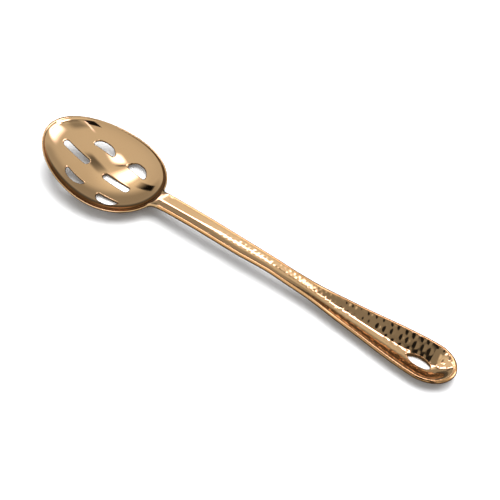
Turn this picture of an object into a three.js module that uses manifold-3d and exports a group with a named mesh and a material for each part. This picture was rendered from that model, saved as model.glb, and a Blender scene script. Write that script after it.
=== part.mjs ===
// A slotted serving spoon with a hollow, hammered handle, in millimetres, +Z up.
// The spoon lies along X as it rests on a table: the bowl's tip at -X, the hanging eye at +X.
// The bowl is one stamping with six slots, a short neck and a tang. The handle is two pressed
// shells, welded to each other round their edge and at the eye, and to the neck at the front.
import * as THREE from 'three';
import { ParametricGeometry } from 'three/addons/geometries/ParametricGeometry.js';
import { mergeVertices } from 'three/addons/utils/BufferGeometryUtils.js';
import Module from 'manifold-3d';

// ---- driving dimensions ----
const LENGTH = 331.2;
const TIP_X = -LENGTH / 2;
const END_X = LENGTH / 2;
const JOINT_GAP = 0.2;             // clearance between pieces that are welded to each other
const TABLE_Z = 0;

const BOWL_HALF_WIDTH = 34;
const BOWL_TIP_LENGTH = 51.7;      // from the tip to the widest place
const BOWL_NECK_LENGTH = 42.6;     // from the widest place to where the outline meets the neck
const BOWL_CENTRE_X = TIP_X + BOWL_TIP_LENGTH;
const BOWL_TIP_FULLNESS = 1.04;
const BOWL_NECK_FULLNESS = 0.94;
const BOWL_INNER_DEPTH = 10.88;
const BOWL_OUTER_DEPTH = 13.0;     // reaches below the table, so the underside is cut flat there
const BOWL_WALL_POWER = 0.614;
const BOWL_RIM_THICKNESS = 1.2;
const CAVITY_LID_Z = 40;
const RIM_MIDDLE_Z = 13.36;        // rim height over the table at the widest place,
const RIM_TILT = -6.77;            // and how it changes along the bowl, per RIM_UNIT
const RIM_SWEEP = 3.93;
const RIM_UNIT = 50;

const STRAIGHT_SLOTS = [[-153.3, -132.2], [-119.3, -97.2]];
const SLOT_HALF_WIDTH = 2.5;
const BOWED_SLOTS = [
  { start: [-139.6, 13.2], end: [-122.8, 14.8], innerBow: 0.7, outerBow: 5.6 },
  { start: [-111.2, 15.3], end: [-94.6, 13.4], innerBow: 0, outerBow: 6.4 },
];
const BOWED_SLOT_REACH = 0.1;      // how far the outer arc's handles lean out, and how full it is
const BOWED_SLOT_FULLNESS = 1.3;

const RIM_RADIUS = 1.4;            // of the round edge that runs along the whole handle
const NECK_START_X = -79;
const NECK_END_X = -67.6;
const WELD_START_X = NECK_END_X + JOINT_GAP;
const WELD_END_X = -66.2;
const SHELL_START_X = WELD_END_X + JOINT_GAP;
const DISH_CENTRE_X = 145;         // centre of the half ellipse that ends the handle
const FLANGE_THICKNESS = RIM_RADIUS - JOINT_GAP / 2;
const SHEET_THICKNESS = 0.9;

const TANG_HALF_WIDTH = 2.4;
const TANG_THICKNESS = 1.2;
const TANG_ROOT = 4;               // how far the tang starts inside the neck
const TANG_END_X = -44;
const TANG_Z = 10.5;

const EYE_CENTRE_X = 139.4;
const EYE_HALF_LENGTH = 8.9;
const EYE_HALF_WIDTH = 3.3;
const EYE_WELD_WIDTH = 0.7;
const EYE_SHOULDER_FULLNESS = 1.65;
const EYE_END_FULLNESS = 1.05;

const CUT_BOTTOM_Z = -5;
const CUT_HEIGHT = 40;

// ---- how finely the surfaces are faceted ----
const BOWL_AROUND = 56;
const BOWL_ACROSS = 9;
const SHEET_ACROSS = 7;
const PLAN_LENGTH_STEPS = 20;
const PLAN_DISH_STEPS = 16;
const PLAN_FRONT_STEPS = 6;
const BEAD_SIDES = 8;
const SECTION_SIDES = 32;
const NECK_STEPS = 8;
const NECK_WELD_STEPS = 2;
const OUTLINE_STEPS = 6;

// ---- lengthwise curves of the handle: [x, value], smooth between the points ----
const HALF_WIDTH = [[-79, 10.6], [-73, 8.3], [-66, 7.4], [-45, 7.1], [-20, 7.0], [0, 6.9], [25, 6.3],
  [45, 6.5], [60, 7.1], [80, 9.2], [100, 11.4], [120, 13.8], [136, 15.2], [145, 15.5]];
const SEAM_Z = [[-79, 9.4], [-72, 10.4], [-66, 11.8], [-50, 12.6], [-30, 12.7], [0, 11.9], [25, 11.9],
  [40, 10.7], [60, 9.7], [80, 8.8], [100, 8.3], [120, 8.0], [145, 7.6]];
const TROUGH = [[-79, 0], [-72, 0.3], [-66, 1.0], [-58, 1.4], [-40, 1.4], [-15, 1.0], [5, 0.9], [30, 1.0],
  [60, 1.9], [80, 3.2], [100, 4.6], [120, 5.9], [145, 6.6]];
const KEEL = [[-79, 3.4], [-66, 2.6], [-30, 2.8], [0, 3.2], [40, 4.0], [60, 4.4], [80, 5.2],
  [100, 6.4], [112, 6.9], [145, 6.6]];

// Cross-section of the trough: a soft V near the neck, a round hollow in the middle, a dish at the end
const HOLLOW_POWER = [[-40, 1.2], [10, 1.8], [30, 1.8], [90, 2.2]];
const HOLLOW_FULLNESS = [[30, 1.0], [90, 1.7]];
const KEEL_POWER = 2.4;
const KEEL_FULLNESS = 0.9;

const metal = (name, color, roughness) => (
  new THREE.MeshStandardMaterial({ name, color, roughness, metalness: 1 })
);

// ---- smooth curve through points, with the slope at each point taken from its neighbours ----
function curve(points) {
  const last = points.length - 1;
  const slope = points.map((_, i) => {
    const a = points[Math.max(i - 1, 0)];
    const b = points[Math.min(i + 1, last)];
    return (b[1] - a[1]) / (b[0] - a[0]);
  });
  return (x) => {
    const at = THREE.MathUtils.clamp(x, points[0][0], points[last][0]);
    let i = 0;
    while (i < last - 1 && at > points[i + 1][0]) i += 1;
    const span = points[i + 1][0] - points[i][0];
    const t = (at - points[i][0]) / span;
    const rise = t * t * (3 - 2 * t);
    return points[i][1] * (1 - rise) + points[i + 1][1] * rise
      + span * (slope[i] * t * (1 - t) ** 2 - slope[i + 1] * t * t * (1 - t));
  };
}

const halfWidth = curve(HALF_WIDTH);
const seamZ = curve(SEAM_Z);
const trough = curve(TROUGH);
const hollowPower = curve(HOLLOW_POWER);
const hollowFullness = curve(HOLLOW_FULLNESS);
const keel = curve(KEEL);

// ---- solids ----
const wasm = await Module();
wasm.setup();

function toSolid(geometry) {
  const bare = geometry.index ? geometry.clone() : mergeVertices(geometry);
  bare.deleteAttribute('normal');
  bare.deleteAttribute('uv');
  const merged = mergeVertices(bare, 1e-4);
  const index = merged.index.array;
  const kept = [];
  for (let i = 0; i < index.length; i += 3) {
    const [a, b, c] = [index[i], index[i + 1], index[i + 2]];
    if (a !== b && b !== c && c !== a) kept.push(a, b, c);
  }
  return new wasm.Manifold(new wasm.Mesh({
    numProp: 3,
    vertProperties: new Float32Array(merged.attributes.position.array),
    triVerts: new Uint32Array(kept),
  }));
}

function toMesh(name, solid, material) {
  const { vertProperties, triVerts } = solid.getMesh();
  const geometry = new THREE.BufferGeometry();
  geometry.setAttribute('position', new THREE.BufferAttribute(new Float32Array(vertProperties), 3));
  geometry.setIndex(new THREE.BufferAttribute(new Uint32Array(triVerts), 1));
  geometry.computeVertexNormals();
  const mesh = new THREE.Mesh(geometry, material);
  mesh.name = name;
  return mesh;
}

// A closed skin: u runs round it, v runs outward on the lower surface and back on the upper one.
function skin(around, across, lower, upper) {
  const rows = 2 * across + 1;
  return toSolid(new ParametricGeometry((u, v, target) => {
    const row = Math.round(v * rows);
    const out = Math.sin((Math.PI / 2) * (Math.min(row, rows - row) / across));
    target.copy(row <= across ? lower(u, out) : upper(u, out));
  }, around, rows));
}

// A bar along a path: ring(step, turn) gives a point of its outline, and both ends are closed flat.
function bar(steps, sides, ring) {
  const centre = (step) => {
    const sum = new THREE.Vector3();
    for (let i = 0; i < sides; i += 1) sum.add(ring(step, i / sides));
    return sum.divideScalar(sides);
  };
  const rows = steps + 2;
  return toSolid(new ParametricGeometry((u, v, target) => {
    const row = Math.round(v * rows);
    if (row === 0) target.copy(centre(0));
    else if (row === rows) target.copy(centre(1));
    else target.copy(ring((row - 1) / steps, u % 1));
  }, sides, rows));
}

function prism(shape) {
  const cutter = new THREE.ExtrudeGeometry(shape, {
    depth: CUT_HEIGHT,
    bevelEnabled: false,
    curveSegments: OUTLINE_STEPS,
  });
  cutter.translate(0, 0, CUT_BOTTOM_Z);
  return toSolid(cutter);
}

// ---- bowl ----
const rimZ = (x) => {
  const along = (x - BOWL_CENTRE_X) / RIM_UNIT;
  return RIM_MIDDLE_Z + RIM_TILT * along + RIM_SWEEP * along * along;
};

// A point of the bowl: inset is how far its outline lies inside the outer one, out is 0 at the middle.
function bowlPoint(turn, out, inset, depth) {
  const angle = turn * 2 * Math.PI;
  const toTip = Math.cos(angle) < 0;
  const length = (toTip ? -BOWL_TIP_LENGTH : BOWL_NECK_LENGTH) * (1 - inset / BOWL_NECK_LENGTH);
  const fullness = toTip ? BOWL_TIP_FULLNESS : BOWL_NECK_FULLNESS;
  const x = Math.abs(Math.cos(angle)) ** fullness * out * length;
  const width = BOWL_HALF_WIDTH - inset;
  const y = Math.sin(angle) * out * width;
  const share = Math.min(Math.abs(x / length) ** (2 / fullness) + (y / width) ** 2, 1);
  const z = rimZ(BOWL_CENTRE_X + x) - depth * (1 - share) ** BOWL_WALL_POWER;
  return new THREE.Vector3(BOWL_CENTRE_X + x, y, z);
}

function bowlBody() {
  const outer = (u, out) => {
    const point = bowlPoint(u, out, 0, BOWL_OUTER_DEPTH);
    return point.setZ(Math.max(point.z, TABLE_Z));
  };
  return skin(BOWL_AROUND, BOWL_ACROSS, outer, (u, out) => bowlPoint(u, out, 0, 0));
}

function bowlCavity() {
  const inner = (u, out) => bowlPoint(u, out, BOWL_RIM_THICKNESS, BOWL_INNER_DEPTH);
  return skin(BOWL_AROUND, BOWL_ACROSS, inner, (u, out) => inner(u, out).setZ(CAVITY_LID_Z));
}

// The slot outlines: a straight one with round ends, and one that bows away from the middle line
function straightSlot([startX, endX]) {
  const shape = new THREE.Shape();
  shape.absarc(startX + SLOT_HALF_WIDTH, 0, SLOT_HALF_WIDTH, Math.PI / 2, 1.5 * Math.PI);
  shape.absarc(endX - SLOT_HALF_WIDTH, 0, SLOT_HALF_WIDTH, -Math.PI / 2, Math.PI / 2);
  return shape;
}

function bowedSlot(side, { start, end, innerBow, outerBow }) {
  const middleX = (start[0] + end[0]) / 2;
  const middleY = (start[1] + end[1]) / 2;
  const shape = new THREE.Shape();
  shape.moveTo(start[0], side * start[1]);
  shape.quadraticCurveTo(middleX, side * (middleY + 2 * innerBow), end[0], side * end[1]);
  const reach = (end[0] - start[0]) * BOWED_SLOT_REACH;
  shape.bezierCurveTo(
    end[0] + reach, side * (end[1] + outerBow * BOWED_SLOT_FULLNESS),
    start[0] - reach, side * (start[1] + outerBow * BOWED_SLOT_FULLNESS),
    start[0], side * start[1],
  );
  return shape;
}

function slotShapes() {
  const straight = STRAIGHT_SLOTS.map(straightSlot);
  const bowed = BOWED_SLOTS.flatMap((slot) => [bowedSlot(-1, slot), bowedSlot(1, slot)]);
  return [...straight, ...bowed];
}

// ---- handle ----
const flangeY = (x) => halfWidth(x) - RIM_RADIUS;
const dishLength = END_X - RIM_RADIUS - DISH_CENTRE_X;

// 0 on the handle's middle line, 1 on the centre line of its round edge
function edgeShare(x, y) {
  const across = Math.abs(y) / flangeY(x);
  const along = Math.max(x - DISH_CENTRE_X, 0) / dishLength;
  return Math.min(Math.hypot(across, along), 1);
}

// Upper surface: a shallow trough from the neck on, that deepens into a dish at the end
function topZ(x, y) {
  const hollow = (1 - edgeShare(x, y) ** hollowPower(x)) ** hollowFullness(x);
  return seamZ(x) + RIM_RADIUS - trough(x) * hollow;
}

function bottomZ(x, y) {
  const share = edgeShare(x, y);
  const bulge = keel(x) * (1 - share ** KEEL_POWER) ** KEEL_FULLNESS;
  return Math.max(seamZ(x) - RIM_RADIUS - bulge, TABLE_Z);
}

const sheetAt = (x, y) => THREE.MathUtils.lerp(SHEET_THICKNESS, FLANGE_THICKNESS, edgeShare(x, y) ** 4);

// The handle's plan, anticlockwise from the front: where each ray starts and where it meets the edge
function handlePlan(startX) {
  const rays = [];
  const flange = flangeY(DISH_CENTRE_X);
  for (let i = 0; i < PLAN_LENGTH_STEPS; i += 1) {
    const x = THREE.MathUtils.lerp(startX, DISH_CENTRE_X, i / PLAN_LENGTH_STEPS);
    rays.push({ x, rim: new THREE.Vector2(x, -flangeY(x)) });
  }
  for (let i = 0; i <= PLAN_DISH_STEPS; i += 1) {
    const angle = Math.PI * (i / PLAN_DISH_STEPS - 0.5);
    const rim = new THREE.Vector2(DISH_CENTRE_X + dishLength * Math.cos(angle), flange * Math.sin(angle));
    rays.push({ x: DISH_CENTRE_X, rim });
  }
  for (let i = PLAN_LENGTH_STEPS - 1; i >= 0; i -= 1) {
    const x = THREE.MathUtils.lerp(startX, DISH_CENTRE_X, i / PLAN_LENGTH_STEPS);
    rays.push({ x, rim: new THREE.Vector2(x, flangeY(x)) });
  }
  for (let i = 1; i < PLAN_FRONT_STEPS; i += 1) {
    const y = THREE.MathUtils.lerp(flangeY(startX), -flangeY(startX), i / PLAN_FRONT_STEPS);
    rays.push({ x: startX, rim: new THREE.Vector2(startX, y) });
  }
  return rays;
}

function handleSheet(lowerZ, upperZ) {
  const rays = handlePlan(SHELL_START_X);
  const place = (u, out, height) => {
    const { x, rim } = rays[Math.round(u * rays.length) % rays.length];
    const at = new THREE.Vector2(x, 0).lerp(rim, out);
    return new THREE.Vector3(at.x, at.y, height(at.x, at.y));
  };
  const lower = (u, out) => place(u, out, lowerZ);
  return skin(rays.length, SHEET_ACROSS, lower, (u, out) => place(u, out, upperZ));
}

// Weld bead along the outside of the edge, from the neck round the dish and back to the neck
function edgeWeldBead() {
  const rays = handlePlan(SHELL_START_X);
  const path = rays.slice(0, 2 * PLAN_LENGTH_STEPS + PLAN_DISH_STEPS + 1).map(({ rim }) => rim);
  const steps = path.length - 1;
  const direction = (i) => {
    const ahead = path[Math.min(i + 1, steps)];
    const behind = path[Math.max(i - 1, 0)];
    return new THREE.Vector2().subVectors(ahead, behind).normalize();
  };
  return bar(steps, BEAD_SIDES, (step, turn) => {
    const i = Math.round(step * steps);
    const along = direction(i);
    const angle = -2 * Math.PI * turn;
    const out = Math.max(RIM_RADIUS * Math.cos(angle), JOINT_GAP);
    const rise = RIM_RADIUS * Math.sin(angle);
    return new THREE.Vector3(path[i].x + along.y * out, path[i].y - along.x * out, seamZ(path[i].x) + rise);
  });
}

// Whole section of the handle or neck at x, anticlockwise seen from its front
function section(x, turn) {
  const flange = flangeY(x);
  const quarter = Math.floor(turn * 4 + 1e-6);
  const share = turn * 4 - quarter;
  if (quarter % 2 === 1) {
    const angle = Math.PI * (share - 0.5);
    const side = quarter === 1 ? 1 : -1;
    const out = flange + RIM_RADIUS * Math.cos(angle);
    return new THREE.Vector3(x, side * out, seamZ(x) + side * RIM_RADIUS * Math.sin(angle));
  }
  const y = (quarter === 0 ? 1 : -1) * flange * (2 * share - 1);
  return new THREE.Vector3(x, y, quarter === 0 ? bottomZ(x, y) : topZ(x, y));
}

function sectionBar(startX, endX, steps) {
  return bar(steps, SECTION_SIDES, (step, turn) => section(THREE.MathUtils.lerp(startX, endX, step), turn));
}

function tang(clearance) {
  const length = TANG_END_X - NECK_END_X + TANG_ROOT;
  const width = 2 * (TANG_HALF_WIDTH + clearance);
  const box = new THREE.BoxGeometry(length, width, TANG_THICKNESS + 2 * clearance);
  box.translate(TANG_END_X - length / 2, 0, TANG_Z);
  return toSolid(box);
}

// Leaf outline of the eye: pointed towards the neck and round towards the end
function eyeShape(grow) {
  const shape = new THREE.Shape();
  const pointX = EYE_CENTRE_X - EYE_HALF_LENGTH - grow;
  const roundX = EYE_CENTRE_X + EYE_HALF_LENGTH + grow;
  const shoulderX = EYE_CENTRE_X - EYE_HALF_LENGTH / 2;
  const shoulderY = EYE_SHOULDER_FULLNESS * (EYE_HALF_WIDTH + grow);
  const endY = EYE_END_FULLNESS * (EYE_HALF_WIDTH + grow);
  shape.moveTo(pointX, 0);
  shape.bezierCurveTo(shoulderX, -shoulderY, roundX, -endY, roundX, 0);
  shape.bezierCurveTo(roundX, endY, shoulderX, shoulderY, pointX, 0);
  return shape;
}

// ---- pieces ----
function makeBowl() {
  const neck = sectionBar(NECK_START_X, NECK_END_X, NECK_STEPS);
  let bowl = bowlBody().add(neck).subtract(bowlCavity());
  bowl = bowl.add(tang(0));
  for (const shape of slotShapes()) bowl = bowl.subtract(prism(shape));
  return bowl;
}

function makeShell(lowerZ, upperZ) {
  return handleSheet(lowerZ, upperZ).subtract(prism(eyeShape(EYE_WELD_WIDTH + JOINT_GAP)));
}

function makeNeckWeld() {
  return sectionBar(WELD_START_X, WELD_END_X, NECK_WELD_STEPS).subtract(tang(JOINT_GAP));
}

function makeEyeWeld() {
  const plug = handleSheet(bottomZ, topZ).intersect(prism(eyeShape(EYE_WELD_WIDTH)));
  return plug.subtract(prism(eyeShape(0)));
}

const topShell = makeShell((x, y) => topZ(x, y) - sheetAt(x, y), topZ);
const bottomShell = makeShell(bottomZ, (x, y) => bottomZ(x, y) + sheetAt(x, y));

const spoon = new THREE.Group();
spoon.add(
  toMesh('bowl', makeBowl(), metal('bowl_copper', 0xdca57a, 0.08)),
  toMesh('handle_top_shell', topShell, metal('hammered_copper', 0xd69a6c, 0.12)),
  toMesh('handle_bottom_shell', bottomShell, metal('handle_copper', 0xdca57a, 0.08)),
  toMesh('neck_weld', makeNeckWeld(), metal('neck_weld_copper', 0xcf8f60, 0.15)),
  toMesh('edge_weld', edgeWeldBead(), metal('edge_weld_copper', 0xcf8f60, 0.15)),
  toMesh('eye_weld', makeEyeWeld(), metal('eye_weld_copper', 0xcf8f60, 0.15)),
);

export default spoon;
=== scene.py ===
# The finished look of the slotted serving spoon: its pieces as fine meshes around the CAD frame,
# in polished and hammered rose gold, on a pale floor under soft studio light.
import math

import bpy
import numpy as np
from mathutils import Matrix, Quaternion, Vector


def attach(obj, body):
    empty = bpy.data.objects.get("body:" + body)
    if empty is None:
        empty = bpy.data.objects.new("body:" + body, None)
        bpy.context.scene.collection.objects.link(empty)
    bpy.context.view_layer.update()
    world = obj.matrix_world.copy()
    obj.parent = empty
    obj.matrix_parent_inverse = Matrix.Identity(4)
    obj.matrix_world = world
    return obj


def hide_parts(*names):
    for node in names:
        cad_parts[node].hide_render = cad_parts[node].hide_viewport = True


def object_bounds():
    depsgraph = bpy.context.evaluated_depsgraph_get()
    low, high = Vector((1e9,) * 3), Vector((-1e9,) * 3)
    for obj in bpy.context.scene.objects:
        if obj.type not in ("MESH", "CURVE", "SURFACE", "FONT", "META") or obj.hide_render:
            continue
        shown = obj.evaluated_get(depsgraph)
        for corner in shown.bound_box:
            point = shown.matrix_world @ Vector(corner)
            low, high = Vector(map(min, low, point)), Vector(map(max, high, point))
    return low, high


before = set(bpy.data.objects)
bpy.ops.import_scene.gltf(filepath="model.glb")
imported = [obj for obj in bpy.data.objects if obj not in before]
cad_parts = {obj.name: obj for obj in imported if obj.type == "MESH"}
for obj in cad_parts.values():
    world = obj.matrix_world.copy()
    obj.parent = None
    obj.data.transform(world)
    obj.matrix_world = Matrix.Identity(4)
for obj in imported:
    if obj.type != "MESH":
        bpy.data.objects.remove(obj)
cad_low, cad_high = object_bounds()

# Shapes below are worked out in millimetres and put in the scene in metres.
MM = 0.001

# ---- driving dimensions, as in the CAD ----
TIP_X = cad_low.x / MM
END_X = cad_high.x / MM

BOWL_HALF_WIDTH = cad_high.y / MM
BOWL_TIP_LENGTH = 51.7
BOWL_NECK_LENGTH = 42.6
BOWL_CENTRE_X = TIP_X + BOWL_TIP_LENGTH
BOWL_TIP_FULLNESS = 1.04
BOWL_NECK_FULLNESS = 0.94
BOWL_INNER_DEPTH = 10.88
BOWL_OUTER_DEPTH = 13.0
BOWL_WALL_POWER = 0.614
BOWL_RIM_THICKNESS = 1.2
BOWL_RIM_ROUNDING = 0.6
RIM_RISE = (13.36, -6.77, 3.93)      # rim height over the table, as a parabola along the bowl
RIM_RISE_UNIT = 50.0

NECK_START_X = -84.0
NECK_END_X = -67.6
NECK_BLEND = 1.6
CREST_ROUNDING = 1.8                 # of the bowl's edge where it runs over the neck
CREST_X = (-80.0, -76.0)             # where that softer edge starts, and is complete
CREST_Y = (4.0, 8.0)                 # and where it fades back to the plain rim, off the middle line
SLOT_HALF_WIDTH = 2.5
SLOT_ROUNDING = 0.7
SLOT_CORNER = 3.4                    # how softly the two arcs of a bowed slot meet
OUTER_ARC_FULLNESS = 2.6             # how square the outer arc of a bowed slot is, along the bowl
OUTER_ARC_RISE = 1.25                # and across it
STRAIGHT_SLOTS = [(-153.3, -132.2), (-119.3, -97.2)]
BOWED_SLOTS = [((-140.4, 12.9), (-122.0, 14.6), 0.8, 6.4), ((-112.0, 15.0), (-93.8, 13.0), 0.2, 7.1)]
TABLE_ROUNDING = 0.3                 # where the bowl's underside meets the flat it rests on

EDGE_RADIUS = 1.4
SHELL_START_X = -66.0
DISH_CENTRE_X = 145.0
FLANGE_THICKNESS = 1.3
SHEET_THICKNESS = 0.9
CORNER_ROUNDING = 0.35
KEEL_FULLNESS = (2.4, 0.9)
SHELL_TUCK = 0.35                    # how far the shells' edges lie inside the weld bead

EYE_CENTRE_X = 139.4
EYE_HALF_LENGTH = 8.9
EYE_HALF_WIDTH = 3.38
EYE_POINT_POWER = 0.78
EYE_WELD_WIDTH = 0.7
EYE_WELD_LIFT = 0.06
EYE_WELD_ROUNDING = 0.5
EYE_END_STEEPNESS = 0.35             # how much faster its distance grows towards its two ends

TANG_HALF_WIDTH = 2.4
TANG_THICKNESS = 1.2
TANG_Z = 10.5
TANG_END_X = -44.0
TANG_ROOT = 4                        # how far the tang starts inside the neck
TANG_ROUNDING = 0.6
NECK_WELD_X = (-67.9, -65.7)
NECK_WELD_LIFT = 0.03
NECK_WELD_ROUNDING = 0.25
TANG_CLEARANCE = 0.2                 # between the neck weld and the tang's sides,
TANG_SLOT_HALF_HEIGHT = 1.0          # and half the height of the weld's opening for it

HALF_WIDTH = [(-84, 12.5), (-79, 10.6), (-73, 8.3), (-66, 7.4), (-45, 7.1), (-20, 7.0), (0, 6.9),
              (25, 6.3), (45, 6.5), (60, 7.1), (80, 9.2), (100, 11.4), (120, 13.8), (136, 15.2), (145, 15.5)]
SEAM_Z = [(-84, 8.9), (-79, 9.2), (-72, 10.3), (-66, 11.8), (-50, 12.6), (-30, 12.7), (0, 11.9), (25, 11.9),
          (40, 10.7), (60, 9.7), (80, 8.8), (100, 8.3), (120, 8.0), (145, 7.6)]
TROUGH = [(-84, 0.0), (-79, 0.0), (-72, 0.3), (-66, 1.0), (-58, 1.4), (-40, 1.4), (-15, 1.0),
          (5, 0.9), (30, 1.0), (60, 1.9), (80, 3.2), (100, 4.6), (120, 5.9), (145, 6.6)]
HOLLOW_POWER = [(-40, 1.2), (10, 1.8), (30, 1.8), (90, 2.2)]
HOLLOW_FULLNESS = [(30, 1.0), (90, 1.7)]
KEEL = [(-79, 3.4), (-66, 2.6), (-30, 2.8), (0, 3.2), (40, 4.0), (60, 4.4), (80, 5.2),
        (100, 6.4), (112, 6.9), (145, 6.6)]


def curve(points):
    """Smooth curve through points, with the slope at each point taken from its neighbours."""
    at = np.array([p[0] for p in points], float)
    value = np.array([p[1] for p in points], float)
    slope = np.empty(len(at))
    slope[1:-1] = (value[2:] - value[:-2]) / (at[2:] - at[:-2])
    slope[0] = (value[1] - value[0]) / (at[1] - at[0])
    slope[-1] = (value[-1] - value[-2]) / (at[-1] - at[-2])

    def along(x):
        x = np.clip(x, at[0], at[-1])
        i = np.clip(np.searchsorted(at, x, side="right") - 1, 0, len(at) - 2)
        span = at[i + 1] - at[i]
        t = (x - at[i]) / span
        rise = t * t * (3 - 2 * t)
        bend = slope[i] * t * (1 - t) ** 2 - slope[i + 1] * t * t * (1 - t)
        return value[i] * (1 - rise) + value[i + 1] * rise + span * bend

    return along


half_width = curve(HALF_WIDTH)
seam_z = curve(SEAM_Z)
trough = curve(TROUGH)
keel = curve(KEEL)
hollow_power = curve(HOLLOW_POWER)
hollow_fullness = curve(HOLLOW_FULLNESS)


def smooth_max(a, b, blend):
    """The larger of two distances, with the corner between them rounded."""
    near = np.maximum(blend - np.abs(a - b), 0.0)
    return np.maximum(a, b) + near * near / (4 * blend)


def smooth_min(a, b, blend):
    return -smooth_max(-a, -b, blend)


def smooth_step(x, start, end):
    t = np.clip((x - start) / (end - start), 0.0, 1.0)
    return t * t * (3 - 2 * t)


# ---- meshes from distance fields: negative inside the metal, zero on its surface ----
CORNERS = np.array([(i, j, k) for i in (0, 1) for j in (0, 1) for k in (0, 1)])
CELL_EDGES = [(a, b) for a in range(8) for b in range(a + 1, 8) if np.abs(CORNERS[a] - CORNERS[b]).sum() == 1]
NORMAL_STEP = 0.03
DEEP_INSIDE = 9                      # a distance taken as far inside the metal
SETTLE_PASSES = 4
LEAST_STEEPNESS = 0.05


def gradient(field, points):
    """Slope of the field at each point."""
    slopes = np.empty_like(points)
    for axis in range(3):
        step = np.zeros(3)
        step[axis] = NORMAL_STEP
        ahead = field(*(points + step).T)
        behind = field(*(points - step).T)
        slopes[:, axis] = (ahead - behind) / (2 * NORMAL_STEP)
    return slopes


def surface_net(field, low, high, spacing):
    """Closed quad mesh of the field's surface inside a box: points, quads and normals."""
    counts = np.ceil((np.array(high) - np.array(low)) / spacing).astype(int) + 1
    axes = [low[i] + spacing * np.arange(counts[i]) for i in range(3)]
    values = np.empty(counts)
    for i, x in enumerate(axes[0]):
        values[i] = field(np.full((1, 1), x), axes[1][:, None], axes[2][None, :])
    inside = values < 0
    corner_sum = np.zeros(counts - 1, int)
    for di, dj, dk in CORNERS:
        corner_sum += inside[di:counts[0] - 1 + di, dj:counts[1] - 1 + dj, dk:counts[2] - 1 + dk]
    cells = np.argwhere((corner_sum > 0) & (corner_sum < 8))
    number = np.full(counts - 1, -1)
    number[tuple(cells.T)] = np.arange(len(cells))

    corner_values = np.stack([values[tuple((cells + c).T)] for c in CORNERS], axis=1)
    total = np.zeros((len(cells), 3))
    crossings = np.zeros(len(cells))
    for a, b in CELL_EDGES:
        va, vb = corner_values[:, a], corner_values[:, b]
        crossed = (va < 0) != (vb < 0)
        share = np.where(crossed, va / np.where(crossed, va - vb, 1.0), 0.0)
        place = CORNERS[a] + share[:, None] * (CORNERS[b] - CORNERS[a])
        total += np.where(crossed[:, None], place, 0.0)
        crossings += crossed
    points = np.array(low) + spacing * (cells + total / crossings[:, None])
    for _ in range(SETTLE_PASSES):
        slopes = gradient(field, points)
        steepness = np.maximum((slopes ** 2).sum(1), LEAST_STEEPNESS)
        move = -(field(*points.T) / steepness)[:, None] * slopes
        points = points + np.clip(move, -spacing / 2, spacing / 2)

    quads = []
    for axis in range(3):
        side, other = (axis + 1) % 3, (axis + 2) % 3
        first = [slice(None)] * 3
        second = [slice(None)] * 3
        first[axis], second[axis] = slice(0, -1), slice(1, None)
        edge = np.argwhere(inside[tuple(first)] != inside[tuple(second)])
        starts_inside = inside[tuple(edge.T)]
        back_side, back_other = np.zeros(3, int), np.zeros(3, int)
        back_side[side], back_other[other] = 1, 1
        loop = [edge - back_side - back_other, edge - back_other, edge, edge - back_side]
        quad = np.stack([number[tuple(c.T)] for c in loop], axis=1)
        quads.append(np.where(starts_inside[:, None], quad, quad[:, ::-1]))
    slopes = gradient(field, points)
    normals = slopes / np.linalg.norm(slopes, axis=1, keepdims=True)
    return points, np.concatenate(quads), normals


def add_piece(name, points, faces, normals, material, replaced):
    """Puts a mesh made in millimetres in the scene, as a piece that stands for a CAD node."""
    mesh = bpy.data.meshes.new(name)
    mesh.from_pydata((points * MM).tolist(), [], faces.tolist())
    mesh.update()
    mesh.polygons.foreach_set("use_smooth", [True] * len(mesh.polygons))
    if normals is not None:
        mesh.normals_split_custom_set_from_vertices(normals.tolist())
    mesh.materials.append(material)
    piece = bpy.data.objects.new(name, mesh)
    bpy.context.scene.collection.objects.link(piece)
    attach(piece, "root")
    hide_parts(replaced)
    return piece


# ---- bowl ----
def rim_z(x):
    along = (x - BOWL_CENTRE_X) / RIM_RISE_UNIT
    return RIM_RISE[0] + RIM_RISE[1] * along + RIM_RISE[2] * along * along


def bowl_side(x, y, z, inset, depth):
    """Distance from a bowl-shaped surface, negative inside it; above the rim its wall runs straight up."""
    along = x - BOWL_CENTRE_X
    to_tip = along < 0
    length = np.where(to_tip, BOWL_TIP_LENGTH, BOWL_NECK_LENGTH) * (1 - inset / BOWL_NECK_LENGTH)
    power = 2 / np.where(to_tip, BOWL_TIP_FULLNESS, BOWL_NECK_FULLNESS)
    width = BOWL_HALF_WIDTH - inset
    share = np.abs(along) / length
    down = np.maximum(rim_z(x) - z, 0.0) / depth
    level = share ** power + (y / width) ** 2 + down ** (1 / BOWL_WALL_POWER) - 1
    slope_x = power * share ** (power - 1) / length
    slope_y = 2 * y / width ** 2
    slope_z = down ** (1 / BOWL_WALL_POWER - 1) / (BOWL_WALL_POWER * depth)
    return level / np.sqrt(slope_x ** 2 + slope_y ** 2 + slope_z ** 2 + 1e-6)


def straight_slot(x, y, start_x, end_x):
    reach = (end_x - start_x) / 2 - SLOT_HALF_WIDTH
    along = np.maximum(np.abs(x - (start_x + end_x) / 2) - reach, 0.0)
    return np.hypot(along, y) - SLOT_HALF_WIDTH


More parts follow.
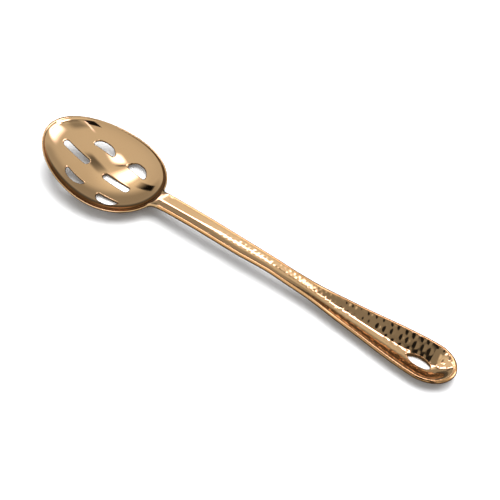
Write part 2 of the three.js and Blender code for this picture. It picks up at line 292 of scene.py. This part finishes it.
def bowed_slot(x, y, start, end, inner_bow, outer_bow):
    """Slot between two arcs that bow away from the bowl's middle line, the same on both sides of it."""
    share = (x - start[0]) / (end[0] - start[0])
    mirrored = np.abs(y)
    line = start[1] + share * (end[1] - start[1])
    hump = 4 * share * (1 - share)
    inner = line + inner_bow * hump - mirrored
    half = (end[0] - start[0]) / 2
    off_centre = np.abs(share * 2 - 1)
    rise = np.maximum(mirrored - line, 0.0) / outer_bow
    level = off_centre ** OUTER_ARC_FULLNESS + rise ** OUTER_ARC_RISE - 1
    slope_x = OUTER_ARC_FULLNESS * off_centre ** (OUTER_ARC_FULLNESS - 1) / half
    slope_y = OUTER_ARC_RISE * rise ** (OUTER_ARC_RISE - 1) / outer_bow
    outer = level / np.sqrt(slope_x ** 2 + slope_y ** 2 + 1e-4)
    return smooth_max(inner, outer, SLOT_CORNER)


def slots(x, y):
    """Distance from the nearest of the six slots, seen from above."""
    straight = [straight_slot(x, y, *ends) for ends in STRAIGHT_SLOTS]
    bowed = [bowed_slot(x, y, *shape) for shape in BOWED_SLOTS]
    return np.minimum.reduce(straight + bowed)


# ---- handle ----
def flange_y(x):
    return half_width(x) - EDGE_RADIUS


DISH_LENGTH = END_X - EDGE_RADIUS - DISH_CENTRE_X
CREASE_SOFTNESS = 0.06
SOFTENED_EDGE = math.hypot(1.0, CREASE_SOFTNESS) - CREASE_SOFTNESS


def edge_share(x, y):
    """0 on the handle's middle line, 1 on the centre line of its round edge."""
    across = np.abs(y) / flange_y(x)
    along = np.maximum(x - DISH_CENTRE_X, 0.0) / DISH_LENGTH
    return np.hypot(across, along)


def top_z(x, y):
    share = np.minimum(edge_share(x, y), 1.0)
    softened = np.sqrt(share * share + CREASE_SOFTNESS ** 2) - CREASE_SOFTNESS
    hollow = (1 - (softened / SOFTENED_EDGE) ** hollow_power(x)) ** hollow_fullness(x)
    return seam_z(x) + EDGE_RADIUS - trough(x) * hollow


def bottom_z(x, y):
    share = np.minimum(edge_share(x, y), 1.0)
    drop = keel(x) * (1 - share ** KEEL_FULLNESS[0]) ** KEEL_FULLNESS[1]
    return np.maximum(seam_z(x) - EDGE_RADIUS - drop, 0.0)


def sheet_at(x, y):
    share = np.minimum(edge_share(x, y), 1.0)
    return SHEET_THICKNESS + (FLANGE_THICKNESS - SHEET_THICKNESS) * share ** 4


def bar_side(x, y, z):
    """Distance from the whole section of the neck, with its round edges."""
    past = np.abs(y) - flange_y(x)
    edge = np.hypot(past, z - seam_z(x)) - EDGE_RADIUS
    body = np.maximum(z - top_z(x, y), bottom_z(x, y) - z)
    return np.where(past > 0, edge, body)


def tang_side(x, y, z):
    off_middle = np.abs(x - (TANG_END_X + NECK_END_X) / 2)
    reach = np.maximum(off_middle - (TANG_END_X - NECK_END_X) / 2 - TANG_ROOT, -DEEP_INSIDE)
    plan = np.maximum(np.abs(y) - TANG_HALF_WIDTH, reach)
    return smooth_max(plan, np.abs(z - TANG_Z) - TANG_THICKNESS / 2, TANG_ROUNDING)


def bowl_field(x, y, z):
    body = smooth_max(bowl_side(x, y, z, 0.0, BOWL_OUTER_DEPTH), z - rim_z(x), BOWL_RIM_ROUNDING)
    neck = np.maximum(bar_side(x, y, z), np.maximum(NECK_START_X - x, x - NECK_END_X))
    body = smooth_min(body, neck, NECK_BLEND)
    at_neck = smooth_step(x, *CREST_X) * (1 - smooth_step(np.abs(y), *CREST_Y))
    rounding = BOWL_RIM_ROUNDING + (CREST_ROUNDING - BOWL_RIM_ROUNDING) * at_neck
    cavity = bowl_side(x, y, z, BOWL_RIM_THICKNESS, BOWL_INNER_DEPTH)
    body = smooth_max(body, -cavity, rounding)
    body = smooth_max(body, -slots(x, y), SLOT_ROUNDING)
    body = smooth_max(body, -z, TABLE_ROUNDING)
    return np.minimum(body, tang_side(x, y, z))


def eye_side(x, y):
    """Distance from the eye's leaf outline: pointed towards the neck and round towards the end."""
    share = np.clip((x - EYE_CENTRE_X) / EYE_HALF_LENGTH, -1.0, 1.0)
    power = np.where(share < 0, EYE_POINT_POWER, 0.5)
    half = EYE_HALF_WIDTH * (1 - share * share) ** power
    past = np.maximum(np.abs(x - EYE_CENTRE_X) - EYE_HALF_LENGTH, 0.0)
    slope = 1.0 + EYE_END_STEEPNESS * np.abs(share)
    return np.where(past > 0, np.hypot(past, np.abs(y)), (np.abs(y) - half) / slope)


def shell_outline(x, y):
    """Distance from the shells' plan, inside the handle's round edge and outside the eye."""
    share = edge_share(x, y)
    edge = (share - 1) * np.minimum(flange_y(x), DISH_LENGTH) + SHELL_TUCK
    return smooth_max(np.maximum(edge, SHELL_START_X - x), EYE_WELD_WIDTH * 0.6 - eye_side(x, y), 0.1)


def top_shell_field(x, y, z):
    height = z - top_z(x, y)
    return smooth_max(np.maximum(height, -height - sheet_at(x, y)), shell_outline(x, y), CORNER_ROUNDING)


def bottom_shell_field(x, y, z):
    height = z - bottom_z(x, y)
    return smooth_max(np.maximum(-height, height - sheet_at(x, y)), shell_outline(x, y), CORNER_ROUNDING)


def eye_weld_field(x, y, z):
    between = np.maximum(z - top_z(x, y) - EYE_WELD_LIFT, bottom_z(x, y) - z)
    ring = np.maximum(eye_side(x, y) - EYE_WELD_WIDTH, -eye_side(x, y))
    return smooth_max(between, ring, EYE_WELD_ROUNDING)


def neck_weld_field(x, y, z):
    length = np.maximum(NECK_WELD_X[0] - x, x - NECK_WELD_X[1])
    wall = smooth_max(bar_side(x, y, z) - NECK_WELD_LIFT, length, NECK_WELD_ROUNDING)
    beside = np.abs(y) - TANG_HALF_WIDTH - TANG_CLEARANCE
    return np.maximum(wall, -np.maximum(beside, np.abs(z - TANG_Z) - TANG_SLOT_HALF_HEIGHT))


# ---- hammer marks ----
MARK_ZONES = [(-52.0, 74.0, 3.7, 1.75), (74.0, END_X - 4, 5.4, 2.2)]   # start, end, pitch, radius
MARK_STEEPNESS = 0.14
MARK_ROWS = 4
ROW_PITCH = 0.8                      # between rows, as a share of the pitch along them
FIRST_ROW = 1.2                      # from the edge bead's centre line
NEAR_SIDE_DEPTH = 0.4                # marks on the -Y side, against those on the +Y side
MARK_FADE = [(-52, 0.1), (-30, 0.2), (-5, 0.32), (55, 0.35), (85, 0.75), (140, 0.9)]


def hammer_marks():
    """Centre, radius and depth of each mark, in rows that follow the handle's edge."""
    random = np.random.default_rng(7)
    fade = curve(MARK_FADE)
    marks = []
    for start, end, pitch, radius in MARK_ZONES:
        for row in range(MARK_ROWS):
            for side in (-1, 1):
                for x in np.arange(start + pitch * (0.5 * (row % 2) + 0.25 * side), end, pitch):
                    along = max(x - DISH_CENTRE_X, 0.0) / DISH_LENGTH
                    edge = float(flange_y(x)) * math.sqrt(max(1 - along * along, 0.0))
                    y = edge - FIRST_ROW - row * ROW_PITCH * pitch
                    if y < 0.3 * pitch and not (row == 1 and side > 0 and y > -0.3 * pitch):
                        continue
                    jitter = random.normal(0, 0.16 * radius, 2)
                    size = radius * random.uniform(0.85, 1.15)
                    depth = size * MARK_STEEPNESS * float(fade(x)) * random.uniform(0.4, 1.25)
                    if side < 0:
                        depth *= NEAR_SIDE_DEPTH
                    marks.append((x + jitter[0], side * y + jitter[1], size, depth))
    return np.array(marks)


def hammer(points, normals, top_only):
    """Presses the marks into the upper surface and turns its normals to suit."""
    marks = hammer_marks()
    for x, y, radius, depth in marks:
        off = np.abs(points[:, :2] - (x, y)).max(axis=1)
        near = np.nonzero(top_only & (off < radius))[0]
        dx, dy = points[near, 0] - x, points[near, 1] - y
        share = np.minimum((dx * dx + dy * dy) / radius ** 2, 1.0)
        points[near, 2] -= depth * (1 - share) ** 2
        steep = -4 * depth * (1 - share) / radius ** 2
        tilt = np.stack([steep * dx, steep * dy, np.zeros(len(near))], axis=1)
        turned = normals[near] / np.maximum(normals[near, 2:3], 0.2) + tilt
        normals[near] = turned / np.linalg.norm(turned, axis=1, keepdims=True)


# ---- materials ----
ROSE_GOLD = (0.87, 0.57, 0.295)
ROSE_GOLD_DEEP = (0.80, 0.48, 0.22)
WELD_GOLD = (0.76, 0.42, 0.17)


def rose_gold(name, colour, roughness, scratch_depth, mottle):
    """Polished rose gold with a faint drift of colour and fine polishing lines along the spoon."""
    material = bpy.data.materials.new(name)
    material.use_nodes = True
    nodes, links = material.node_tree.nodes, material.node_tree.links
    shader = nodes["Principled BSDF"]
    shader.inputs["Metallic"].default_value = 1.0
    place = nodes.new("ShaderNodeTexCoord")

    drift = nodes.new("ShaderNodeTexNoise")
    drift.inputs["Scale"].default_value = 28.0
    drift.inputs["Detail"].default_value = 4.0
    links.new(place.outputs["Object"], drift.inputs["Vector"])
    tone = nodes.new("ShaderNodeMix")
    tone.data_type = "RGBA"
    tone.inputs["A"].default_value = (*colour, 1)
    tone.inputs["B"].default_value = (*ROSE_GOLD_DEEP, 1)
    shift = nodes.new("ShaderNodeMapRange")
    shift.inputs["From Min"].default_value = 0.35
    shift.inputs["From Max"].default_value = 0.75
    shift.inputs["To Max"].default_value = mottle
    links.new(drift.outputs["Fac"], shift.inputs["Value"])
    links.new(shift.outputs["Result"], tone.inputs["Factor"])
    links.new(tone.outputs["Result"], shader.inputs["Base Color"])

    stretch = nodes.new("ShaderNodeMapping")
    stretch.inputs["Scale"].default_value = (120.0, 2600.0, 2600.0)
    links.new(place.outputs["Object"], stretch.inputs["Vector"])
    lines = nodes.new("ShaderNodeTexNoise")
    lines.inputs["Scale"].default_value = 1.0
    lines.inputs["Detail"].default_value = 3.0
    links.new(stretch.outputs["Vector"], lines.inputs["Vector"])
    gloss = nodes.new("ShaderNodeMapRange")
    gloss.inputs["To Min"].default_value = roughness * 0.6
    gloss.inputs["To Max"].default_value = roughness * 1.5
    links.new(lines.outputs["Fac"], gloss.inputs["Value"])
    links.new(gloss.outputs["Result"], shader.inputs["Roughness"])
    bump = nodes.new("ShaderNodeBump")
    bump.inputs["Strength"].default_value = 0.25
    bump.inputs["Distance"].default_value = scratch_depth
    links.new(lines.outputs["Fac"], bump.inputs["Height"])
    links.new(bump.outputs["Normal"], shader.inputs["Normal"])
    return material


polished = rose_gold("polished_rose_gold", ROSE_GOLD, 0.05, 0.000004, 0.35)
hammered = rose_gold("hammered_rose_gold", ROSE_GOLD, 0.09, 0.000006, 0.6)
welded = rose_gold("dressed_weld_rose_gold", WELD_GOLD, 0.14, 0.000008, 0.8)


# ---- pieces ----
BOWL_SPACING = 0.45
SHELL_SPACING = 0.45
RING_SPACING = 0.25
BEAD_STEP = 0.6
BEAD_END_STEPS = 90
BEAD_SIDES = 20


def make_bowl():
    low = (TIP_X - 1, -BOWL_HALF_WIDTH - 1, -1)
    high = (TANG_END_X + 6, BOWL_HALF_WIDTH + 1, cad_high.z / MM + 1)
    points, quads, normals = surface_net(bowl_field, low, high, BOWL_SPACING)
    add_piece("bowl_and_neck", points, quads, normals, polished, "bowl")


def make_shells():
    low = (SHELL_START_X - 1, -17, -1)
    high = (END_X + 1, 17, 19)
    points, quads, normals = surface_net(top_shell_field, low, high, SHELL_SPACING)
    depth = np.abs(points[:, 2] - top_z(points[:, 0], points[:, 1]))
    hammer(points, normals, (depth < 0.2) & (normals[:, 2] > 0.2))
    add_piece("hammered_top_shell", points, quads, normals, hammered, "handle_top_shell")
    points, quads, normals = surface_net(bottom_shell_field, low, high, SHELL_SPACING)
    add_piece("handle_underside_shell", points, quads, normals, polished,
              "handle_bottom_shell")


def make_edge_weld():
    """Round bead swept round the handle's outline, from the neck to the end and back."""
    side_x = np.arange(SHELL_START_X, DISH_CENTRE_X, BEAD_STEP)
    side = np.stack([side_x, -flange_y(side_x)], axis=1)
    angle = np.linspace(-math.pi / 2, math.pi / 2, BEAD_END_STEPS)
    end_x = DISH_CENTRE_X + DISH_LENGTH * np.cos(angle)
    end_y = flange_y(np.array(DISH_CENTRE_X)) * np.sin(angle)
    end = np.stack([end_x, end_y], axis=1)
    path = np.concatenate([side, end, side[::-1] * (1, -1)])
    along = np.gradient(path, axis=0)
    along /= np.linalg.norm(along, axis=1, keepdims=True)
    outward = np.stack([along[:, 1], -along[:, 0]], axis=1)
    sides = BEAD_SIDES
    turn = np.linspace(0, 2 * math.pi, sides, endpoint=False)
    out = EDGE_RADIUS * np.cos(turn)
    rise = EDGE_RADIUS * np.sin(turn)
    plan = path[:, None, :] + outward[:, None, :] * out[None, :, None]
    height = seam_z(path[:, 0])[:, None] + rise[None, :]
    points = np.concatenate([plan, height[:, :, None]], axis=2).reshape(-1, 3)
    rows = len(path)
    first = (np.arange(rows - 1)[:, None] * sides + np.arange(sides)[None, :])
    beside = (np.arange(rows - 1)[:, None] * sides + (np.arange(sides)[None, :] + 1) % sides)
    quads = np.stack([first, first + sides, beside + sides, beside], axis=2).reshape(-1, 4)
    radial = outward[:, None, :] * np.cos(turn)[None, :, None]
    lift = np.broadcast_to(np.sin(turn)[None, :, None], (rows, sides, 1))
    normals = np.concatenate([radial, lift], axis=2).reshape(-1, 3)
    add_piece("edge_weld_bead", points, quads, normals, welded, "edge_weld")


def make_small_welds():
    low = (-69, -10, 5)
    points, quads, normals = surface_net(neck_weld_field, low, (-64.5, 10, 19), RING_SPACING)
    add_piece("neck_weld_ring", points, quads, normals, polished, "neck_weld")
    low = (EYE_CENTRE_X - EYE_HALF_LENGTH - 2, -6, -1)
    high = (EYE_CENTRE_X + EYE_HALF_LENGTH + 2, 6, 10)
    points, quads, normals = surface_net(eye_weld_field, low, high, RING_SPACING)
    add_piece("eye_weld_ring", points, quads, normals, welded, "eye_weld")


make_bowl()
make_shells()
make_edge_weld()
make_small_welds()


# ---- floor, light and camera ----
AIM = Vector((0.0035, 0.0042, 0.008))
CAMERA_AZIMUTH = 37.73
CAMERA_ELEVATION = 49.47
CAMERA_DISTANCE = 1.1604
CAMERA_FIELD = 16.0


def direction(azimuth, elevation):
    """Unit vector: azimuth runs from +X towards +Y, in degrees."""
    a, e = math.radians(azimuth), math.radians(elevation)
    return Vector((math.cos(a) * math.cos(e), math.sin(a) * math.cos(e), math.sin(e)))


FLOOR_COLOUR = (0.86, 0.86, 0.86)
# painted shade: the flat dark colour that mirror rays see in place of the lit floor
PAINTED_FLOOR_REFLECTION = (0.1, 0.1, 0.1)
FILL = (0.68, 0.69, 0.7)
BACKDROP = (0.95, 0.95, 0.95)


def floor_material():
    """Pale matt floor. Mirror rays see a flat dark emission in its place, so its reflection in the metal is
    painted shade, darker than the floor itself.
    """
    material = bpy.data.materials.new("pale_floor")
    material.use_nodes = True
    nodes, links = material.node_tree.nodes, material.node_tree.links
    shader = nodes["Principled BSDF"]
    shader.inputs["Base Color"].default_value = (*FLOOR_COLOUR, 1)
    shader.inputs["Roughness"].default_value = 0.9
    shader.inputs["Specular IOR Level"].default_value = 0.1
    path = nodes.new("ShaderNodeLightPath")
    # painted shade in the floor's reflection: a dark emission seen only by mirror rays
    painted_reflection = nodes.new("ShaderNodeEmission")
    painted_reflection.inputs["Color"].default_value = (*PAINTED_FLOOR_REFLECTION, 1)
    mix = nodes.new("ShaderNodeMixShader")
    links.new(path.outputs["Is Glossy Ray"], mix.inputs["Fac"])
    links.new(shader.outputs["BSDF"], mix.inputs[1])
    links.new(painted_reflection.outputs["Emission"], mix.inputs[2])
    links.new(mix.outputs["Shader"], nodes["Material Output"].inputs["Surface"])
    return material


def make_floor():
    radius = 2.5
    sides = 96
    points = [(radius * math.cos(2 * math.pi * i / sides), radius * math.sin(2 * math.pi * i / sides), 0)
              for i in range(sides)]
    mesh = bpy.data.meshes.new("floor")
    mesh.from_pydata(points, [], [list(range(sides))])
    mesh.materials.append(floor_material())
    floor = bpy.data.objects.new("floor", mesh)
    bpy.context.scene.collection.objects.link(floor)


STUDIO_CENTRE = Vector((-0.08, 0.0, 0.0))
LIGHT_DISTANCE = 1.6
LATER_BOUNCE_LEVEL = 0.2
LAMP_TINT = (1.0, 0.9, 1.15)
CARD_CORNERS = ((-1, -1), (1, -1), (1, 1), (-1, 1))


def softbox(name, azimuth, elevation, width, height, radiance):
    """Soft light that falls on the floor and is not mirrored; the cards stand for what the metal mirrors."""
    light = bpy.data.lights.new(name, "AREA")
    light.shape = "RECTANGLE"
    light.size = 2 * LIGHT_DISTANCE * math.tan(math.radians(width / 2))
    light.size_y = 2 * LIGHT_DISTANCE * math.tan(math.radians(height / 2))
    light.energy = radiance * math.pi * light.size * light.size_y
    lamp = bpy.data.objects.new(name, light)
    lamp.location = STUDIO_CENTRE + direction(azimuth, elevation) * LIGHT_DISTANCE
    lamp.rotation_euler = (lamp.location - STUDIO_CENTRE).to_track_quat("Z", "Y").to_euler()
    lamp.visible_camera = False
    lamp.visible_glossy = False
    bpy.context.scene.collection.objects.link(lamp)


def later_bounce_level(nodes, links):
    """1 for the first mirror image of the studio, lower for images of images."""
    path = nodes.new("ShaderNodeLightPath")
    level = nodes.new("ShaderNodeMapRange")
    level.inputs["From Min"].default_value = 1.0
    level.inputs["From Max"].default_value = 2.0
    level.inputs["To Min"].default_value = 1.0
    level.inputs["To Max"].default_value = LATER_BOUNCE_LEVEL
    links.new(path.outputs["Glossy Depth"], level.inputs["Value"])
    return level.outputs["Result"]


def card_material(name, colour, softness):
    """Glowing or dark card that fades out towards its edges."""
    material = bpy.data.materials.new(name)
    material.use_nodes = True
    nodes, links = material.node_tree.nodes, material.node_tree.links
    nodes.clear()
    place = nodes.new("ShaderNodeTexCoord")
    split = nodes.new("ShaderNodeSeparateXYZ")
    links.new(place.outputs["UV"], split.inputs["Vector"])
    fades = []
    for axis in ("X", "Y"):
        fold = nodes.new("ShaderNodeMath")
        fold.operation = "PINGPONG"
        fold.inputs[1].default_value = 0.5
        links.new(split.outputs[axis], fold.inputs[0])
        fade = nodes.new("ShaderNodeMapRange")
        fade.interpolation_type = "SMOOTHSTEP"
        fade.inputs["From Max"].default_value = max(softness, 0.001) * 0.5
        links.new(fold.outputs["Value"], fade.inputs["Value"])
        fades.append(fade)
    cover = nodes.new("ShaderNodeMath")
    cover.operation = "MULTIPLY"
    links.new(fades[0].outputs["Result"], cover.inputs[0])
    links.new(fades[1].outputs["Result"], cover.inputs[1])
    clear = nodes.new("ShaderNodeBsdfTransparent")
    glow = nodes.new("ShaderNodeEmission")
    glow.inputs["Color"].default_value = (*colour, 1)
    links.new(later_bounce_level(nodes, links), glow.inputs["Strength"])
    mix = nodes.new("ShaderNodeMixShader")
    links.new(cover.outputs["Value"], mix.inputs["Fac"])
    links.new(clear.outputs["BSDF"], mix.inputs[1])
    links.new(glow.outputs["Emission"], mix.inputs[2])
    output = nodes.new("ShaderNodeOutputMaterial")
    links.new(mix.outputs["Shader"], output.inputs["Surface"])
    return material


def reflected_panel(name, corners, brightness, softness):
    """Four-cornered card that shows only in reflections."""
    mesh = bpy.data.meshes.new(name)
    mesh.from_pydata([tuple(corner) for corner in corners], [], [(0, 1, 2, 3)])
    edges = mesh.uv_layers.new(name="edges")
    for loop, place in zip(edges.data, ((0, 0), (1, 0), (1, 1), (0, 1))):
        loop.uv = place
    tint = LAMP_TINT if brightness > 1 else (1.0, 1.0, 1.0)
    mesh.materials.append(card_material(name, [brightness * share for share in tint], softness))
    panel = bpy.data.objects.new(name, mesh)
    panel.visible_camera = False
    panel.visible_diffuse = False
    panel.visible_shadow = False
    bpy.context.scene.collection.objects.link(panel)


def card(name, azimuth, elevation, width, height, brightness, turn=0.0, softness=0.3, distance=1.6):
    """Card that faces the spoon, width by height degrees as seen from there."""
    outward = direction(azimuth, elevation)
    facing = outward.to_track_quat("Z", "Y") @ Quaternion((0, 0, 1), math.radians(turn))
    half_x = distance * math.tan(math.radians(width / 2))
    half_y = distance * math.tan(math.radians(height / 2))
    middle = STUDIO_CENTRE + outward * distance
    corners = [middle + facing @ Vector((i * half_x, j * half_y, 0)) for i, j in CARD_CORNERS]
    reflected_panel(name, corners, brightness, softness)


def over_handle(name, start_x, end_x, start_tilt, end_tilt, brightness, softness, lower=0.0):
    """Card on a slope that rises from the middle of the bowl, edge-on from there, between two
    directions as seen from the handle: degrees from upright, towards the far side."""
    corners = []
    for i, j in CARD_CORNERS:
        x = end_x if i > 0 else start_x
        height = x - BOWL_CENTRE_X * MM
        tilt = end_tilt if j > 0 else start_tilt
        corners.append((x, height * math.tan(math.radians(tilt)), height - lower))
    reflected_panel(name, corners, brightness, softness)


def make_world():
    world = bpy.data.worlds.new("studio")
    bpy.context.scene.world = world
    world.use_nodes = True
    nodes, links = world.node_tree.nodes, world.node_tree.links
    place = nodes.new("ShaderNodeTexCoord")
    split = nodes.new("ShaderNodeSeparateXYZ")
    ramp = nodes.new("ShaderNodeValToRGB")
    links.new(place.outputs["Generated"], split.inputs["Vector"])
    links.new(split.outputs["Z"], ramp.inputs["Fac"])
    stops = ((0.0, 0.56), (0.3, 0.58), (0.6, 0.6), (1.0, 0.68))
    ramp.color_ramp.elements[0].position, ramp.color_ramp.elements[1].position = stops[0][0], stops[-1][0]
    ramp.color_ramp.elements[0].color = (*(stops[0][1],) * 3, 1)
    ramp.color_ramp.elements[1].color = (*(stops[-1][1],) * 3, 1)
    for position, level in stops[1:-1]:
        ramp.color_ramp.elements.new(position).color = (*(level,) * 3, 1)
    path = nodes.new("ShaderNodeLightPath")
    mirror = nodes.new("ShaderNodeMix")
    mirror.data_type = "RGBA"
    mirror.inputs["A"].default_value = (*FILL, 1)
    links.new(path.outputs["Is Glossy Ray"], mirror.inputs["Factor"])
    dimmed = nodes.new("ShaderNodeVectorMath")
    dimmed.operation = "SCALE"
    links.new(ramp.outputs["Color"], dimmed.inputs["Vector"])
    links.new(later_bounce_level(nodes, links), dimmed.inputs["Scale"])
    links.new(dimmed.outputs["Vector"], mirror.inputs["B"])
    backdrop = nodes.new("ShaderNodeMix")
    backdrop.data_type = "RGBA"
    backdrop.inputs["B"].default_value = (*BACKDROP, 1)
    links.new(path.outputs["Is Camera Ray"], backdrop.inputs["Factor"])
    links.new(mirror.outputs["Result"], backdrop.inputs["A"])
    links.new(backdrop.outputs["Result"], nodes["Background"].inputs["Color"])


def make_camera():
    data = bpy.data.cameras.new("camera")
    data.angle = math.radians(CAMERA_FIELD)
    data.clip_start, data.clip_end = 0.05, 20
    camera = bpy.data.objects.new("camera", data)
    back = direction(CAMERA_AZIMUTH - 90, CAMERA_ELEVATION)
    camera.location = AIM + back * CAMERA_DISTANCE
    camera.rotation_euler = back.to_track_quat("Z", "Y").to_euler()
    bpy.context.scene.collection.objects.link(camera)
    bpy.context.scene.camera = camera


make_floor()
make_world()
softbox("key_light", 78, 64, 74, 44, 3.0)
softbox("high_light", 105, 78, 50, 50, 3.6)
card("key_image", 39, 34, 36, 44, 4.2, turn=-24, softness=0.6)
card("shade_beside_key", -14, 32, 26, 50, 0.28, softness=0.5, distance=1.5)
card("camera_image", -48.5, 22, 17, 70, 0.008, softness=0.1, distance=1.3)
card("camera_side_strip", -36, 56, 3.0, 42, 2.0, turn=-8, softness=0.6, distance=1.25)
card("shade_on_tip", -8, 58, 34, 24, 0.3, softness=0.8, distance=1.4)
card("low_far_shade_a", 128, 28, 96, 34, 0.32, softness=0.7, distance=1.7)
card("low_far_shade_b", 128, 6, 110, 30, 0.08, softness=0.5, distance=1.65)
card("back_strip", 156, 38, 8.5, 26, 0.006, turn=22, softness=0.35, distance=1.35)
card("shade_on_near_wall", 82, 22, 30, 40, 0.4, softness=0.8, distance=1.55)
card("boom", 101, 64, 20, 10, 0.16, turn=-30, softness=0.6, distance=1.3)
card("high_image", 142, 77, 14, 13, 5.0, softness=0.8, distance=1.0)
card("panel_glow", 138, 55, 46, 32, 1.0, softness=0.9, distance=1.2)
card("panel_image", 145, 60, 30, 17, 5.0, turn=20, softness=0.9, distance=1.12)
card("panel_gap", 143, 70, 12, 2.2, 0.1, softness=0.8, distance=0.95)
over_handle("shade_over_dish", 0.026, 0.2, -70, 17, 0.26, 0.12)
over_handle("black_over_dish", 0.084, 0.22, -60, 10, 0.01, 0.05, lower=0.002)
over_handle("light_over_dish", 0.022, 0.12, 15, 27, 7.0, 0.5)
over_handle("glow_over_dish", 0.008, 0.12, 20, 52, 0.62, 0.9, lower=-0.002)
over_handle("glow_over_neck", -0.092, 0.02, -70, 18, 0.78, 0.1)
over_handle("light_over_middle", -0.05, 0.034, -16, 16, 6.0, 0.5, lower=-0.003)
over_handle("light_past_neck", -0.066, -0.004, -6, 31, 6.0, 0.4, lower=-0.002)
over_handle("light_over_neck", -0.092, -0.05, 16, 33, 6.0, 0.4, lower=-0.001)
bpy.context.scene.view_settings.view_transform = "Standard"
make_camera()
